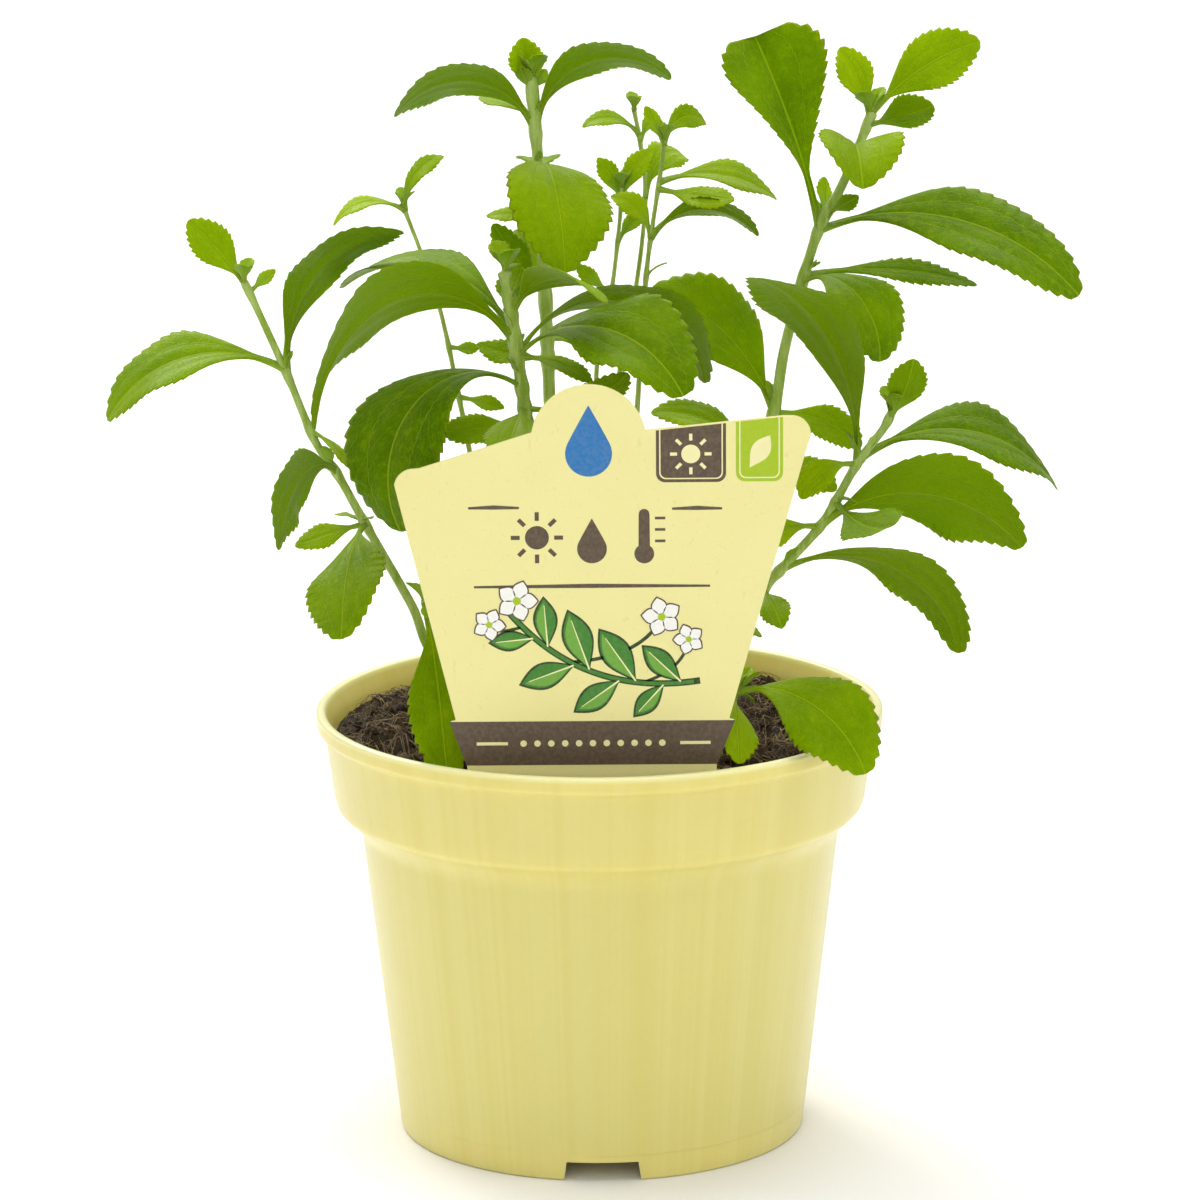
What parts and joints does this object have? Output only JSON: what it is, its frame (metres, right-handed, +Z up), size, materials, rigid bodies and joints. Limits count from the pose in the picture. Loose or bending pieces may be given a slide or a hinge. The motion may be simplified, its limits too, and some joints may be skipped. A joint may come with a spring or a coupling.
{
  "type": "potted stevia plant",
  "caption": "Bushy stevia herb with toothed leaves on slim stems, in a round plastic pot of compost with an upright plant card.",
  "frame": {"origin": "on the pot's axis at the foot of the pot, where it stands", "axes": "+Z up; -Y towards the front, where the card is; +X to the card's right as seen from the front"},
  "size_m": [0.2236, 0.1319, 0.2564],
  "materials": {
    "pot_plastic": "satin moulded polypropylene",
    "compost": "loose, fibrous and damp; stands for peat compost",
    "card_board": "matt printed card",
    "foliage": "soft, finely haired leaf; stands for living foliage"
  },
  "bodies": {
    "root": {"pot": "pot_plastic", "soil": "compost", "label": "card_board", "stem_left": "foliage", "stem_thin_left": "foliage", "stem_centre_front": "foliage", "stem_centre_tall": "foliage", "sprig_back_left": "foliage", "sprig_back_middle": "foliage", "sprig_back_right": "foliage", "stem_right_tall": "foliage", "stem_right_low": "foliage", "shoot_front_right": "foliage", "shoot_front_left": "foliage", "shoot_back_left": "foliage", "shoot_back_right": "foliage"}
  },
  "joints": []
}
